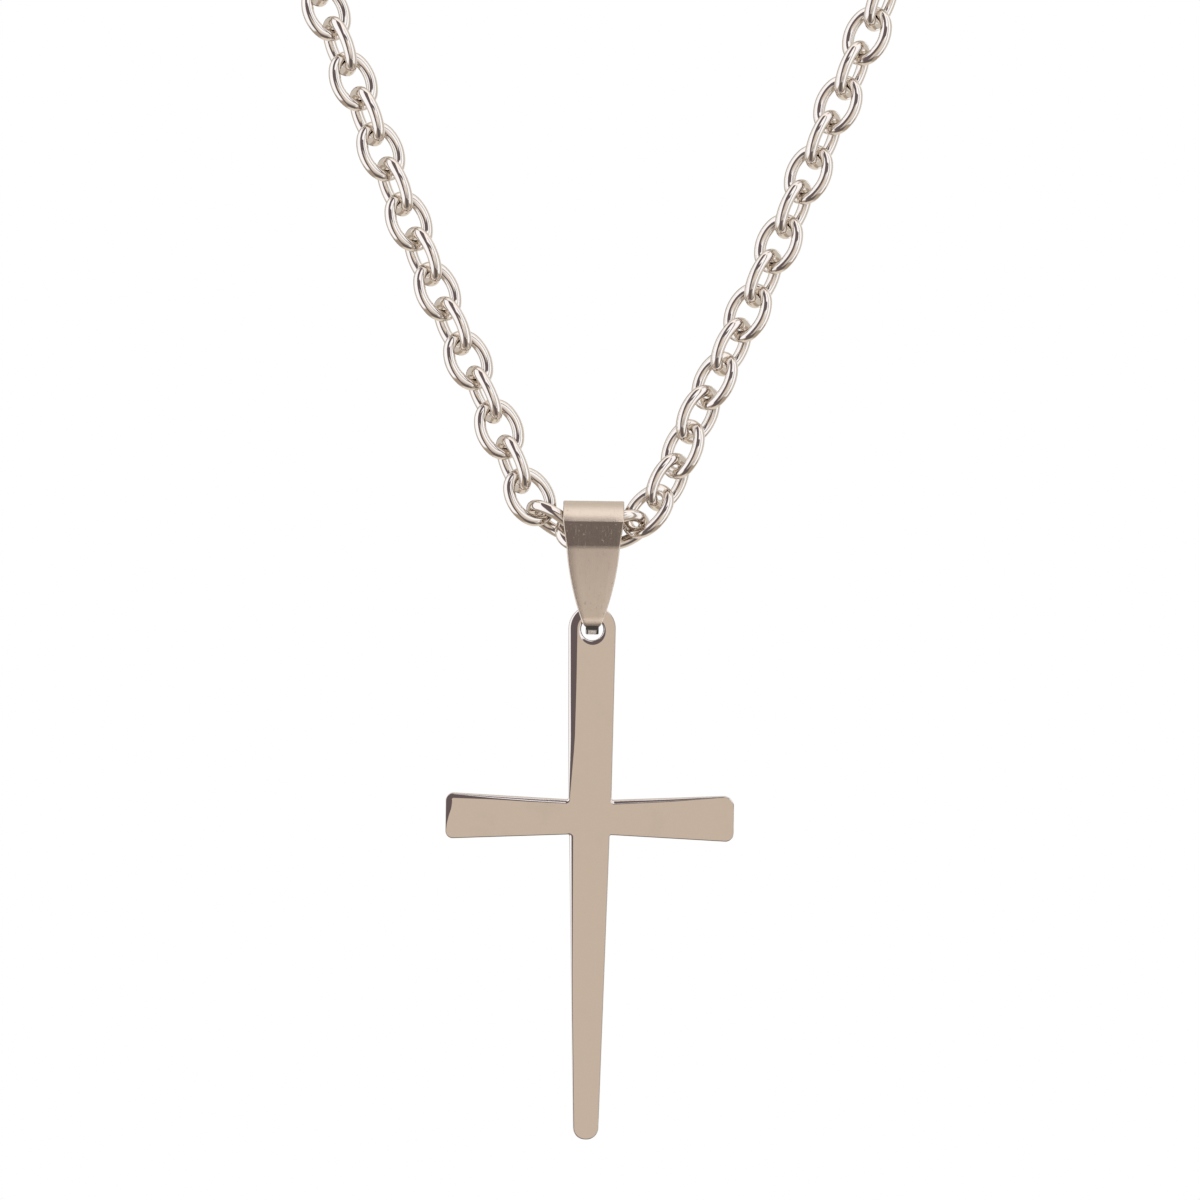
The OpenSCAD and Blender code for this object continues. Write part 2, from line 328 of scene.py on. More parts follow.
def rounded_outline(corners: Sequence[Corner], arc_steps: int, side_steps: int) -> dict[str, Array]:
    """Samples a closed outline whose corners are rounded by arcs.

    Each corner's arc has its middle on the corner's bisector, at radius over the
    sine of half the angle, and runs between the two points where it touches the
    sides. Between two arcs the straight side has points that crowd towards its
    ends, along half a cosine wave.

    Args:
        corners: The corners, anticlockwise.
        arc_steps: Points on each arc.
        side_steps: Points on each straight side, without its ends.

    Returns:
        Arrays "points" and "normals" (pointing outwards), and "turn", which counts
        corners along the outline, so that values can be blended between corners.
    """
    at = np.array([[c.x, c.y] for c in corners])
    radius = np.array([c.radius for c in corners])
    to_last = unit(np.roll(at, 1, axis=0) - at)
    to_next = unit(np.roll(at, -1, axis=0) - at)
    half = np.arccos(np.clip((to_last * to_next).sum(1), -1, 1)) / 2
    bulge = np.sign(to_next[:, 0] * to_last[:, 1] - to_next[:, 1] * to_last[:, 0])
    middle = at + unit(to_last + to_next) * (radius / np.sin(half))[:, None]
    first = at + to_last * (radius / np.tan(half))[:, None]
    last = at + to_next * (radius / np.tan(half))[:, None]
    ray = (first - middle) / radius[:, None]
    sweep = (math.pi - 2 * half) * bulge
    angle = np.linspace(0, 1, arc_steps)[None, :] * sweep[:, None]
    cos, sin = np.cos(angle), np.sin(angle)
    arc_normal = np.stack([
        ray[:, :1] * cos - ray[:, 1:] * sin,
        ray[:, :1] * sin + ray[:, 1:] * cos,
    ], axis=2)
    arc = middle[:, None] + radius[:, None, None] * arc_normal
    arc_normal = arc_normal * bulge[:, None, None]
    crowd = (1 - np.cos(np.linspace(0, math.pi, side_steps + 2)[1:-1])) / 2
    following = np.roll(first, -1, axis=0)
    side = last[:, None] + (following - last)[:, None] * crowd[None, :, None]
    side_normal = np.repeat(arc_normal[:, -1:], side_steps, axis=1)
    number = np.arange(len(corners))[:, None]
    arc_turn = number + CORNER_SHARE * np.linspace(-1, 1, arc_steps)[None, :]
    side_turn = number + CORNER_SHARE + (1 - 2 * CORNER_SHARE) * crowd[None, :]
    return {
        "points": np.concatenate([arc, side], axis=1).reshape(-1, 2),
        "normals": np.concatenate([arc_normal, side_normal], axis=1).reshape(-1, 2),
        "turn": np.concatenate([arc_turn, side_turn], axis=1).ravel(),
    }


def along_sides(values: Sequence[Sequence[float]], turn: Array) -> Array:
    """Blends values, given evenly along each side in order, at the outline's turns."""
    knots = [
        number + CORNER_SHARE + (1 - 2 * CORNER_SHARE) * np.linspace(0, 1, len(side))
        for number, side in enumerate(values)
    ]
    return np.interp(turn, np.concatenate(knots), np.concatenate(values), period=len(values))


# Finishes


HAIRS = Grain((9000.0, 9000.0, 500.0), 2.0)
BRUSH = Grain((0.35, 22.0, 1.0), 4.0, 0.7)
STREAKS = Grain((0.08, 1.6, 1.0), 2.0)
FLECKS = Grain((3.0, 4.0, 1.0), 3.0, 0.6)
TRAILS = Grain((0.5, 9.0, 1.0), 2.0)


def dim(colour: Sequence[float], share: float) -> list[float]:
    """Gives a colour times a share."""
    return [share * part for part in colour]


@dataclass(frozen=True)
class PolishedSteel:
    """Mirror-polished steel with faint handling marks.

    Fields:
        name: The material's name.
        colour: Metal colour, linear.
        roughness: Roughness where it is clean.
        smear: Roughness that the marks add.
        marks: Size of the marks, in marks per metre.
        scratch: Depth of the fine scratches, as a bump strength.
        haze: Range of the cloudy noise over which a mark fades in.
        dull: Share of its colour that a mark keeps, where it is half seen.
        hairs: Tilt in degrees, start and end of the range, for each set of scratches.
        hair_rough: Roughness that a scratch adds.
        relief: Distance of the bump, in metres.
    """

    name: str
    colour: tuple[float, float, float]
    roughness: float
    smear: float
    marks: float
    scratch: float
    haze: Pair = (0.52, 0.72)
    dull: float = 0.93
    hairs: tuple[tuple[float, float, float], ...] = ((12.0, 0.66, 0.74), (-35.0, 0.68, 0.76))
    hair_rough: float = 0.08
    relief: float = 0.00001

    def make(self) -> Material:
        """Builds the material.

        Cloudy noise raises the roughness in soft patches, and two stretched noises
        cross as hair-fine scratches in the bump.

        Returns:
            The new material.
        """
        material, bench = new_material(self.name)
        place = bench.add("TexCoord").outputs["Object"]
        cloud = bench.noise(place, Grain((self.marks, self.marks, self.marks), 5.0, 0.6))
        haze = bench.band(cloud, self.haze)
        sets = [bench.band(bench.noise(place, HAIRS, tilt), span) for tilt, *span in self.hairs]
        hair = bench.math("MAXIMUM", *sets)
        rough = bench.total(self.roughness, (haze, self.smear), (hair, self.hair_rough))
        tone = bench.mix(bench.math("MULTIPLY", haze, 0.5), self.colour, dim(self.colour, self.dull))
        bench.steel(tone, 1.0, rough, hair, (self.scratch, self.relief))
        return material


@dataclass(frozen=True)
class BrushedSteel:
    """Satin steel, brushed along the strip, with painted light and shade on its strap and lip.

    Fields:
        name: The material's name.
        colour: Metal colour, linear.
        roughness: Roughness between the brush lines.
        depth: Depth of the brush lines, as a bump strength.
        strap: Run from the bottom of the strap's bend to the leaf's tip, in mm.
        lip: Length of the lip over the strap, in mm.
        fade: Lengths over which the strap and the lip give way, in mm.
        fleck: Range of the noise over which a fleck fades in.
        trail: The same for a long scratch.
        shades: How much of the darker tone the brush and the streaks bring.
        shade: Share of its colour that the darker tone keeps.
        lip_highlight: Times brighter that the lip is painted, a painted highlight where the leaf's tip
            curves over.
        bright: Colour of the strap's middle, linear, a painted highlight.
        sides: Distance from the strap's middle over which the painted shade at its sides comes in, in
            mm.
        under: Distance under the leaf's tip over which the painted shade there comes in, in mm.
        strap_shade: Share of its colour that the painted shade keeps.
        brush_rough: Roughness that a brush line adds.
        mark_rough: Roughness that a fleck or a scratch adds.
        strap_rough: Times rougher that the strap is.
        film: How metallic the strap is.
        fleck_rise: Height of a fleck against a brush line.
        relief: Distance of the bump, in metres.
    """

    name: str
    colour: tuple[float, float, float]
    roughness: float
    depth: float
    strap: float
    lip: float
    fade: Pair = (0.1, 0.4)
    fleck: Pair = (0.64, 0.7)
    trail: Pair = (0.655, 0.7)
    shades: Pair = (0.16, 0.1)
    shade: float = 0.62
    lip_highlight: float = 1.22
    bright: tuple[float, float, float] = (0.94, 0.89, 0.83)
    sides: Pair = (0.3, 0.46)
    under: Pair = (0.75, 0.45)
    strap_shade: float = 0.1
    brush_rough: float = 0.16
    mark_rough: float = 0.22
    strap_rough: float = 1.6
    film: float = 0.25
    fleck_rise: float = 1.5
    relief: float = 0.00002

    def make(self) -> Material:
        """Builds the material on the strip's own map, along by across in millimetres.

        A noise stretched along the strip gives the brush lines, and two sparse ones
        give long scratches and bright flecks. The run from the bend's bottom tells
        the strap, which has painted shade at its sides and under the leaf's tip and a
        painted highlight in its middle, and the leaf's lip, which has a painted highlight.
        The strap's end is smoothed twice, which makes it steeper than the lip's.

        Returns:
            The new material.
        """
        material, bench = new_material(self.name)
        place = bench.add("UVMap", uv_map="metal").outputs[0]
        along, side, _ = bench.add("SeparateXYZ", {0: place}).outputs
        run, across = bench.math("ABSOLUTE", along), bench.math("ABSOLUTE", side)
        brush, streak, speck, line = (
            bench.noise(place, grain) for grain in (BRUSH, STREAKS, FLECKS, TRAILS)
        )
        fleck = bench.band(speck, self.fleck)
        marks = bench.math("MAXIMUM", fleck, bench.band(line, self.trail))
        tip, lip_end = self.strap, self.strap + self.lip
        past_tip = bench.band(run, (tip - self.fade[0], tip + self.fade[0]))
        before_leaf = bench.band(run, (lip_end, lip_end + self.fade[1]), (1.0, 0.0))

        shade = bench.total(0.0, (brush, self.shades[0]), (streak, self.shades[1]))
        tone = bench.mix(shade, self.colour, dim(self.colour, self.shade))
        # Painted highlight: the leaf's lip is painted brighter where its tip curves over.
        lip = bench.math("MULTIPLY", past_tip, before_leaf)
        tone = bench.mix(lip, tone, dim(self.colour, self.lip_highlight))
        # Painted shade: the strap turns dark at its sides and under the leaf's tip, and its middle keeps
        # a painted highlight.
        below = bench.band(run, (tip - self.under[0], tip - self.under[1]))
        dark = bench.math("MAXIMUM", bench.band(across, self.sides), below)
        strap_light_and_shade = bench.mix(dark, self.bright, dim(self.colour, self.strap_shade))
        tone = bench.mix(bench.band(past_tip, (0.0, 1.0)), strap_light_and_shade, tone)

        clean = self.roughness - self.brush_rough / 2
        rough = bench.total(clean, (brush, self.brush_rough), (marks, self.mark_rough))
        rough = bench.math("MULTIPLY", rough, bench.band(past_tip, (0.0, 1.0), (self.strap_rough, 1.0)))
        metallic = bench.band(past_tip, (0.0, 1.0), (self.film, 1.0))
        height = bench.math("ADD", brush, bench.math("MULTIPLY", fleck, self.fleck_rise))
        bench.steel(tone, metallic, rough, height, (self.depth, self.relief))
        return material


CROSS_FINISH = PolishedSteel("cross_polish", (0.80, 0.75, 0.72), 0.07, 0.05, 260.0, 0.05)
CHAIN_FINISH = PolishedSteel("chain_polish", (0.83, 0.78, 0.725), 0.05, 0.05, 700.0, 0.06)
CLASP_FINISH = PolishedSteel("clasp_polish", (0.83, 0.78, 0.725), 0.11, 0.06, 500.0, 0.08)
BAIL_FINISH = BrushedSteel("bail_satin", (0.82, 0.72, 0.62), 0.3, 0.25, 1.73, 0.5)


# The cross


@dataclass(frozen=True)
class Rim:
    """The edge of the plate at one place: a tilted band, then a rounding.

    Fields:
        roll: Width of the tilted band, in mm.
        tilt: Its tilt, in degrees.
        edge: Radius that rounds it into the side wall, in mm.
    """

    roll: float
    tilt: float
    edge: float


CRISP = Rim(0.06, 24.0, 0.04)
UNDER = Rim(0.06, 27.0, 0.03)
BLUNT = Rim(0.07, 24.0, 0.02)
WIDE = Rim(0.6, 10.0, 0.3)


@dataclass
class Cross:
    """The flat plate cross: outline, rolled rims and hanging hole, all in mm.

    Fields:
        arm_drop: Hole's middle down to the middle of the arms.
        top_w: Width of the upright at its top.
        waist_w: Width just over the arms.
        shaft_w: Width just under the arms.
        foot_w: Width at the foot.
        arm_root_h: Height of the arms at the upright.
        arm_end_h: Height of the arms at their ends.
        left_corner_r: Radius of the left arm's lower and upper corners.
        right_corner_r: Radius of the right arm's, which are rounder.
        crotch_r: Radius where the arms meet the upright.
        hole_r: Radius of the hanging hole.
        hole_drop: Top of the plate down to the hole's middle.
        hole_edge: Radius of the rounding of the hole's edges.
        hole_tilt: Tilt of the band round the hole, in degrees.
        hole_rolls: Width of that band at its narrowest, and what its widest adds.
        hole_low: Where the band is widest, in degrees from the right.
        roundness: Radius of the top and the foot, as a share of their half-widths.
        edge_steps: Points on each rounding of an edge.
        arc_steps: Points on each corner.
        side_steps: Points on each straight side.
        hole_steps: Points round the hole.
    """

    arm_drop: float = 17.6
    top_w: float = 4.5
    waist_w: float = 4.05
    shaft_w: float = 3.8
    foot_w: float = 2.35
    arm_root_h: float = 3.25
    arm_end_h: float = 4.3
    left_corner_r: Pair = (0.7, 0.7)
    right_corner_r: Pair = (0.8, 0.95)
    crotch_r: float = 0.16
    hole_r: float = 1.04
    hole_drop: float = 2.25
    hole_edge: float = 0.15
    hole_tilt: float = 12.0
    hole_rolls: Pair = (0.05, 0.26)
    hole_low: float = -80.0
    roundness: float = 0.97
    edge_steps: int = 7
    arc_steps: int = 14
    side_steps: int = 16
    hole_steps: int = 96

    def __post_init__(self) -> None:
        """Takes the plate's place and thickness from the frame."""
        low, high = (np.array(v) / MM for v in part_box("cross"))
        self.span, self.thick = (high - low)[:2]
        middle = (low + high) / 2
        self.centre = np.array([middle[0], middle[1], high[2] - self.hole_drop])
        self.foot_z = low[2] - self.centre[2]

    def corners(self) -> list[Corner]:
        """Lists the outline's corners, anticlockwise from the foot's right one."""
        right = self.right_half(*self.right_corner_r)
        left = self.right_half(*self.left_corner_r)
        return right + [Corner(-c.x, c.y, c.radius) for c in reversed(left)]

    def right_half(self, lower_r: float, upper_r: float) -> list[Corner]:
        """Lists the right half's corners upwards, given the radii of its arm's two."""
        foot, top = self.foot_w / 2, self.top_w / 2
        end, root, tip = self.span / 2, self.arm_root_h / 2, self.arm_end_h / 2
        return [
            Corner(foot, self.foot_z, foot * self.roundness),
            Corner(self.shaft_w / 2, -self.arm_drop - root, self.crotch_r),
            Corner(end, -self.arm_drop - tip, lower_r),
            Corner(end, -self.arm_drop + tip, upper_r),
            Corner(self.waist_w / 2, -self.arm_drop + root, self.crotch_r),
            Corner(top, self.hole_drop, top * self.roundness),
        ]

    def rims(self) -> list[tuple[Rim, ...]]:
        """Lists the rims along each side, in the order of the corners.

        The sides are those of the right half upwards (lower bar, arm's underside,
        end and top, upper bar), the top, those of the left half downwards, and the
        foot. The upper bar's left side and the left arm's end have a wide roll that
        thins out downwards, and the arms' tops a full rounding. The lower bar's left
        side starts soft under the arm. The rest is crisp.
        """
        return [
            (CRISP, CRISP),
            (UNDER, UNDER),
            (BLUNT, BLUNT),
            (Rim(0.03, 11.0, 0.08), Rim(0.04, 11.0, 0.36), Rim(0.03, 11.0, 0.46)),
            (CRISP, CRISP),
            (CRISP, WIDE),
            (WIDE, Rim(0.5, 10.0, 0.31), Rim(0.33, 10.0, 0.33), Rim(0.06, 10.0, 0.1)),
            (Rim(0.03, 11.0, 0.42), Rim(0.06, 11.0, 0.42), Rim(0.12, 11.0, 0.32), Rim(0.36, 10.0, 0.12)),
            tuple(Rim(roll, 7.5, 0.05) for roll in (0.58, 0.5, 0.27, 0.1, 0.03)),
            (UNDER, UNDER),
            (Rim(0.12, 10.0, 0.3), Rim(0.05, 10.0, 0.1), Rim(0.05, 10.0, 0.08)),
            (UNDER, UNDER),
        ]

    def rim(self, line: Array, inward: Array, shape: Array) -> Array:
        """Carries the rim's profile along a closed line of the plate's edge.

        From the flat face the profile falls outwards at the tilt over the roll's
        width, turns along an arc into the side wall, and comes back the same way
        on the other face.

        Args:
            line: Points of the edge, seen from the front.
            inward: Unit vectors from the edge into the metal.
            shape: Three rows: the roll, the tilt and the edge at each point.

        Returns:
            Points by profile step and place along the line, with y as the depth.
        """
        roll, tilt, edge = shape[0], np.radians(shape[1]), shape[2]
        share = np.linspace(0, 1, self.edge_steps)[:, None]
        turn = tilt + share * (math.pi / 2 - tilt)
        inset = edge * (1 - np.sin(turn))
        depth = roll * np.tan(tilt) + edge * (np.cos(tilt) - np.cos(turn))
        inset = np.concatenate([inset[:1] + roll, inset])
        depth = np.concatenate([np.zeros((1, len(line))), depth])
        inset = np.concatenate([inset, inset[::-1]])
        depth = np.concatenate([depth, self.thick - depth[::-1]])
        flat = line + inset[..., None] * inward
        y = self.centre[1] - self.thick / 2 + depth
        return np.stack([self.centre[0] + flat[..., 0], y, self.centre[2] + flat[..., 1]], axis=2)

    def outer_rim(self) -> Array:
        """Carries the rim round the outline."""
        outline = rounded_outline(self.corners(), self.arc_steps, self.side_steps)
        shape = [
            along_sides([[getattr(rim, name) for rim in side] for side in self.rims()], outline["turn"])
            for name in ("roll", "tilt", "edge")
        ]
        return self.rim(outline["points"], -outline["normals"], np.array(shape))

    def hole_rim(self) -> Array:
        """Carries the rim round the hole."""
        angle = once_round(self.hole_steps)
        ray = np.stack([np.cos(angle), np.sin(angle)], axis=1)
        near = (1 + np.cos(angle - math.radians(self.hole_low))) / 2
        narrow, more = self.hole_rolls
        tilt, edge = (np.full(self.hole_steps, v) for v in (self.hole_tilt, self.hole_edge))
        return self.rim(self.hole_r * ray, ray, np.stack([narrow + more * near**3, tilt, edge]))

    def build(self, material: Material) -> Piece:
        """Joins the outer rim, the hole's rim and the two flat faces.

        Args:
            material: The plate's finish.

        Returns:
            The cross.
        """
        outer, hole = self.outer_rim(), self.hole_rim()
        points = np.concatenate([outer.reshape(-1, 3), hole.reshape(-1, 3)])
        numbers = np.arange(outer[..., 0].size).reshape(outer.shape[:2])
        hole_numbers = numbers.size + np.arange(hole[..., 0].size).reshape(hole.shape[:2])
        front, back = (self.fill(points, numbers[i], hole_numbers[i]) for i in (0, -1))
        edges = (numbers[0], numbers[-1], hole_numbers[0], hole_numbers[-1])
        walls = [grid_faces(*outer.shape[:2]), grid_faces(*hole.shape[:2], numbers.size)[:, ::-1]]
        sheet = SheetMesh(
            points,
            np.concatenate(walls),
            np.concatenate([front, back[:, ::-1]]),
            sharp=np.concatenate([np.stack([ring, np.roll(ring, -1)], axis=1) for ring in edges]),
        )
        return sheet.build("cross_plate", material)

    def fill(self, points: Array, outline: Array, hole: Array) -> Array:
        """Fills a flat face between the numbers of its outline and of its hole."""
        loops = [outline, hole[::-1]]
        lines = [[Vector((p[0], p[2], 0.0)) for p in points[loop]] for loop in loops]
        return np.concatenate(loops)[np.array(tessellate_polygon(lines))]


# The bail


# How far the sheet's inner face lies from its outer one on the map, in mm
INNER_MAP = 10


@dataclass(frozen=True)
class Line:
    """A straight line of the bail's side profile.

    Fields:
        point: A point on it, in mm from the bail's axis and in height.
        way: Its direction, of length one.
    """

    point: Array
    way: Array

    @classmethod
    def moved_in(cls, point: Pair, angle: float, inset: float) -> "Line":
        """Makes the line through a point at an angle, moved by an inset towards the axis."""
        normal = np.array([-math.sin(angle), math.cos(angle)])
        inwards = normal * (-1 if normal[0] * point[0] > 0 else 1)
        return cls(np.array(point) + inset * inwards, np.array([math.cos(angle), math.sin(angle)]))

    def meet(self, other: "Line") -> Array:
        """Finds where it crosses another line."""
        gap, a, b = other.point - self.point, self.way, other.way
        return self.point + (gap[0] * b[1] - gap[1] * b[0]) / (a[0] * b[1] - a[1] * b[0]) * a

    def on_axis(self) -> Array:
        """Finds where it crosses the bail's axis."""
        return self.point - self.way * (self.point[0] / self.way[0])


@dataclass
class Bail:
    """The strip of sheet folded into a bail, all in mm.

    Fields:
        sheet: Thickness of the sheet.
        waist_d: Depth at the lower crease.
        crown_h: Height of the rounded crown.
        facet_h: Height of the facet under it.
        leaf_h: Height of the tapered leaf.
        crease_w: Width at the lower crease.
        tip_w: Width of the leaf's tip.
        leaf_bow: How far the leaf's sides bow outwards.
        leaf_hollow: How far the leaf's middle is hollowed inwards.
        strap_w: Width of the strap.
        strap_r: Outer radius of the strap's bend.
        crease_r: Radius of the crease under the crown.
        fold_r: Radius of the softer crease between facet and leaf, outside.
        crown_cut: Straight stretch between the crown's arc and the upper crease.
        edge_r: Radius of the sheet's edges.
        step_h: Height over which the leaf's tip narrows to the strap.
        finest: Least distance between two points along the strip.
        arc_steps: Points on each arc of the side profile, before thinning.
        side_steps: Points on each of its straight sides, before thinning.
        flat_steps: Points across the sheet.
        edge_steps: Points on each rounding of its edges.
    """

    sheet: float = 0.5
    waist_d: float = 5.5
    crown_h: float = 1.95
    facet_h: float = 2.4
    leaf_h: float = 7.3
    crease_w: float = 5.0
    tip_w: float = 1.7
    leaf_bow: float = 0.28
    leaf_hollow: float = 0.1
    strap_w: float = 1.22
    strap_r: float = 1.6
    crease_r: float = 0.04
    fold_r: float = 1.6
    crown_cut: float = 0.05
    edge_r: float = 0.13
    step_h: float = 0.1
    finest: float = 0.006
    arc_steps: int = 25
    side_steps: int = 40
    flat_steps: int = 7
    edge_steps: int = 5

    def __post_init__(self) -> None:
        """Takes the bail's place, width and depth from the frame."""
        low, high = (np.array(v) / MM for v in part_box("bail"))
        self.top, self.bottom = high[2], low[2]
        self.depth = high[1] - low[1]
        self.width = high[0] - low[0]
        self.centre = (low + high) / 2
        self.crown_r = ((self.depth / 2) ** 2 + self.crown_h**2) / (2 * self.crown_h)
        self.crease_z = self.top - self.crown_h
        self.leaf_z = self.crease_z - self.facet_h
        self.tip_z = self.leaf_z - self.leaf_h
        self.strap_mid = self.bottom + self.strap_r

    def side_corners(self, inset: float) -> list[Corner]:
        """Lists the side profile's corners, moved in by an inset, seen from +X.

        The crown is the rounding of a corner above it, where the tangents at its
        two ends meet, and the strap's bend that of a corner below the leaves.

        Args:
            inset: How far inside the outer face.

        Returns:
            The corners: crown, rear creases, bend, front creases.
        """
        half, waist = self.depth / 2, self.waist_d / 2
        lean = math.asin(half / self.crown_r)
        crown_foot, leaf_top = (half, self.crease_z), (waist, self.leaf_z)
        crown = Line.moved_in(crown_foot, math.pi - lean, inset)
        facet = Line.moved_in(crown_foot, math.atan2(-self.facet_h, waist - half), inset)
        leaf = Line.moved_in(leaf_top, -math.pi / 2 - self.leaf_lean(), inset)
        upper, lower = crown.meet(facet), facet.meet(leaf)
        crown_apex, bend_apex = crown.on_axis(), leaf.on_axis()
        fold = self.fold_r - inset
        flank = math.dist(crown_apex, upper) - self.crown_cut
        return [
            Corner(0.0, crown_apex[1], flank / math.tan(lean)),
            Corner(-upper[0], upper[1], self.crease_r),
            Corner(-lower[0], lower[1], fold),
            Corner(0.0, bend_apex[1], self.strap_r - inset),
            Corner(lower[0], lower[1], fold),
            Corner(upper[0], upper[1], self.crease_r),
        ]

    def leaf_lean(self) -> float:
        """Gives the leaf's lean from upright, so that it touches the strap's bend."""
        drop = self.leaf_z - self.strap_mid
        reach = math.hypot(self.waist_d / 2, drop)
        return math.atan2(self.waist_d / 2, drop) - math.asin(self.strap_r / reach)

    def half_width(self, z: Array) -> Array:
        """Gives the strip's half-width at each height.

        It narrows linearly over the facet, along a bowed line over the leaf, and
        drops over a short step to the strap.
        """
        heights = [self.tip_z, self.leaf_z, self.crease_z, self.top]
        widths = [self.tip_w / 2, self.crease_w / 2, self.width / 2, self.width / 2]
        leaf = np.interp(z, heights, widths) + self.leaf_bow * self.swell(z)
        step = np.clip((z - self.tip_z) / self.step_h + 1, 0, 1)
        return self.strap_w / 2 + (leaf - self.strap_w / 2) * step * step * (3 - 2 * step)

    def swell(self, z: Array) -> Array:
        """Gives a parabola over the leaf, 0 at its ends and 1 in its middle."""
        share = np.clip((z - self.tip_z) / (self.leaf_z - self.tip_z), 0, 1)
        return 4 * share * (1 - share)

    def section(self) -> tuple[Array, Array, Array]:
        """Gives the strip's cross-section, a flat bar with rounded edges.

        Returns:
            For each point round it: the side it is on (a share of the half-width),
            how far it is set in from that side, and its depth under the outer face.
        """
        turn = np.linspace(0, math.pi / 2, self.edge_steps)[1:]
        ease, dip = self.edge_r * (1 - np.sin(turn)), self.edge_r * (1 - np.cos(turn))
        flat = np.linspace(-1, 1, self.flat_steps)
        side = np.concatenate([flat, np.ones(2 * len(turn))])
        inset = np.concatenate([np.full(len(flat), self.edge_r), ease, ease[::-1]])
        depth = np.concatenate([np.zeros(len(flat)), dip, self.sheet - dip[::-1]])
        return np.append(side, -side), np.append(inset, inset), np.append(depth, self.sheet - depth)

    def profiles(self) -> tuple[Array, Array, Array]:
        """Samples the side profile's outer and inner line, point for point.

        Returns:
            The two lines and the run along the outer one, from the bend's bottom,
            thinned out where points are closer than the finest distance.
        """
        outer, inner = (
            rounded_outline(self.side_corners(inset), self.arc_steps, self.side_steps)["points"]
            for inset in (0.0, self.sheet)
        )
        steps = np.linalg.norm(np.roll(outer, -1, axis=0) - outer, axis=1)
        run = np.concatenate([[0], np.cumsum(steps[:-1])])
        keep = np.diff(np.floor(run / self.finest), prepend=-1) > 0
        keep &= run < steps.sum() - self.finest
        outer, inner, run = outer[keep], inner[keep], run[keep]
        return outer, inner, run - run[np.argmin(outer[:, 1])]

    def build(self, material: Material) -> Piece:
        """Carries the cross-section round the closed side profile.

        A point lies between the outer and the inner profile, by its depth, and as
        far sideways as its share of the half-width less its inset. The leaf's
        middle is hollowed along a parabola.

        Args:
            material: The strip's finish.

        Returns:
            The bail.
        """
        outer, inner, run = self.profiles()
        side, inset, depth = self.section()
        share = depth / self.sheet
        place = outer[:, None] * (1 - share[:, None]) + inner[:, None] * share[:, None]
        hollow = self.leaf_hollow * self.swell(outer[:, 1]) * np.sign(outer[:, 0])
        reach = side * (self.half_width(outer[:, 1])[:, None] - inset)
        depthwise = self.centre[1] + place[..., 0] - hollow[:, None]
        points = np.stack([self.centre[0] + reach, depthwise, place[..., 1]], axis=2)
        uv = np.stack([np.broadcast_to(run[:, None], reach.shape), reach + INNER_MAP * share], axis=2)
        sheet = SheetMesh(
            points.reshape(-1, 3),
            grid_faces(len(outer), len(side), close_rows=True),
            uv=uv.reshape(-1, 2),
        )
        return sheet.build("bail_strip", material)


# The chain


@dataclass
class Chain:
    """The oval wire links of both halves, all in mm.

    Fields:
        length: Outer length of a link.
        width: Outer width of a link.
        wire: Diameter of the wire.
        end_r: Radius of the wire's middle line round the ends.
        fine_below: Height under which links are close to the eye.
        fine: Points on each of a close link's four arcs, and round its wire.
        coarse: The same for the other links.
    """

    length: float = 5.9
    width: float = 4.65
    wire: float = 1.12
    end_r: float = 1.55
    fine_below: float = -148.0
    fine: tuple[int, int] = (12, 18)
    coarse: tuple[int, int] = (7, 10)

    def middle_line(self, steps: int) -> tuple[Array, Array]:
        """Gives the points and outward normals of a link's middle line.

        It has two tight arcs at its ends and two long ones at its sides, each with
        as many steps.
        """
        a, b = (self.length - self.wire) / 2, (self.width - self.wire) / 2
        side_r = ((a - self.end_r) ** 2 + b**2 - self.end_r**2) / (2 * (b - self.end_r))
        turn = math.atan2(side_r - b, a - self.end_r)
        share = np.linspace(0, 1, steps, endpoint=False)
        end = -turn + 2 * turn * share
        side = turn + (math.pi - 2 * turn) * share
        rays = [end, side, end + math.pi, side + math.pi]
        middles = [(a - self.end_r, 0), (0, b - side_r), (self.end_r - a, 0), (0, side_r - b)]
        radii = [self.end_r, side_r, self.end_r, side_r]
        normal = np.concatenate([np.stack([np.cos(t), np.sin(t)], axis=1) for t in rays])
        middle = np.repeat(np.array(middles, float), steps, axis=0)
        radius = np.repeat(np.array(radii), steps)[:, None]
        return middle + radius * normal, normal

    def wire_loop(self, steps: int, around: int) -> Array:
        """Carries a circle of wire round the link's middle line."""
        line, normal = self.middle_line(steps)
        turn = once_round(around)[None, :, None]
        flat = line[:, None] + self.wire / 2 * np.cos(turn) * normal[:, None]
        rise = np.broadcast_to(self.wire / 2 * np.sin(turn), (*flat.shape[:2], 1))
        return np.concatenate([flat, rise], axis=2)

    def build(self, side: Side, frames: Array, material: Material) -> Piece:
        """Sets the loop of wire on each link of one half.

        A link's point is its middle plus the loop's three coordinates along its
        three axes. Links far from the eye have fewer faces.

        Args:
            side: The half.
            frames: Middle and three axes of each link.
            material: The wire's finish.

        Returns:
            The half chain.
        """
        near = frames[:, 0, 2] < self.fine_below
        points, faces, start = [], [], 0
        for chosen, (steps, around) in ((near, self.fine), (~near, self.coarse)):
            loop = self.wire_loop(steps, around).reshape(-1, 3)
            placed = frames[chosen][:, None, 0] + loop @ frames[chosen][:, 1:]
            one = grid_faces(4 * steps, around, close_rows=True)
            shift = start + len(loop) * np.arange(len(placed))[:, None, None]
            faces.append((one[None] + shift).reshape(-1, 4))
            points.append(placed.reshape(-1, 3))
            start += len(points[-1])
        sheet = SheetMesh(np.concatenate(points), np.concatenate(faces))
        return sheet.build(side.value + "_links", material)


def points_of(node: Piece) -> Array:
    """Reads the points of a frame's node, in mm."""
    return read(node.data.vertices, "co", 3, float) / MM


